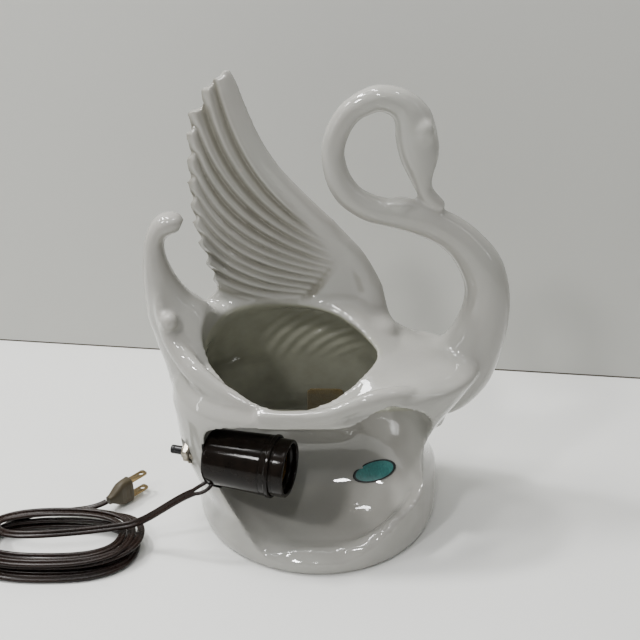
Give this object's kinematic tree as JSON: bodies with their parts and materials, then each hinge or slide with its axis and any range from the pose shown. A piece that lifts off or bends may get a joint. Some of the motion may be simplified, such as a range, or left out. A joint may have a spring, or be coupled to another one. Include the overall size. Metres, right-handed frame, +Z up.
{
  "type": "tv lamp",
  "caption": "White glazed swan planter lamp with a side-mounted push-switch socket in a niche at its back, and a hanked cord with a two-blade plug.",
  "frame": {"origin": "middle of the base, on the surface it stands on", "axes": "+Z up, +X towards the swan's breast, -Y to the open lamp niche at the back"},
  "size_m": [0.367, 0.1668, 0.3091],
  "materials": {
    "glaze": "glossy white glaze",
    "phenolic": "polished black-brown moulding",
    "button": "gloss",
    "brass": "dull stamped brass",
    "nickel": "worn nickel plate",
    "screw_steel": "plain steel",
    "cord": "soft glossy brown PVC",
    "plug": "dark olive-brown moulding",
    "label": "printed foil paper, worn",
    "patch": "worn felt"
  },
  "bodies": {
    "lamp": {"ceramic_body": "glaze", "oval_label": "label", "planter_patch": "patch", "socket_housing": "phenolic", "socket_mouth_ring": "phenolic", "screw_shell": "brass", "centre_contact": "brass", "insulator_disc": "phenolic", "line_terminal": "brass", "neutral_terminal": "brass", "line_screw": "screw_steel", "neutral_screw": "screw_steel", "threaded_bush": "nickel", "lock_washer": "nickel", "hex_nut": "nickel", "return_spring": "screw_steel", "ratchet_axle": "screw_steel", "switch_frame": "screw_steel", "switch_leaf": "brass", "fixed_contact": "brass", "lead_line": "cord", "lead_neutral": "cord", "cord": "cord", "cord_hank": "cord", "cord_tail": "cord", "plug_body": "plug", "plug_blade_far": "brass", "plug_blade_near": "brass"},
    "button": {"push_button": "button", "switch_plunger": "brass"},
    "ratchet": {"ratchet_wheel": "brass"}
  },
  "joints": [
    {"name": "button_press", "type": "slide", "parent": "lamp", "child": "button", "axis": [0.9613, -0.2756, 0], "range_m": [0, 0.0027], "stiffness_N_per_m": 400, "springref_m": -0.003, "deforming": ["return_spring"]},
    {"name": "ratchet_turn", "type": "hinge", "parent": "lamp", "child": "ratchet", "pos_m": [-0.0605, -0.05358, 0.0604], "axis": [0.2756, 0.9613, 0], "range_deg": [0, 45]}
  ],
  "couplings": [
    {"joint": "ratchet_turn", "follows": "button_press", "rad_per_m": 290.8}
  ]
}
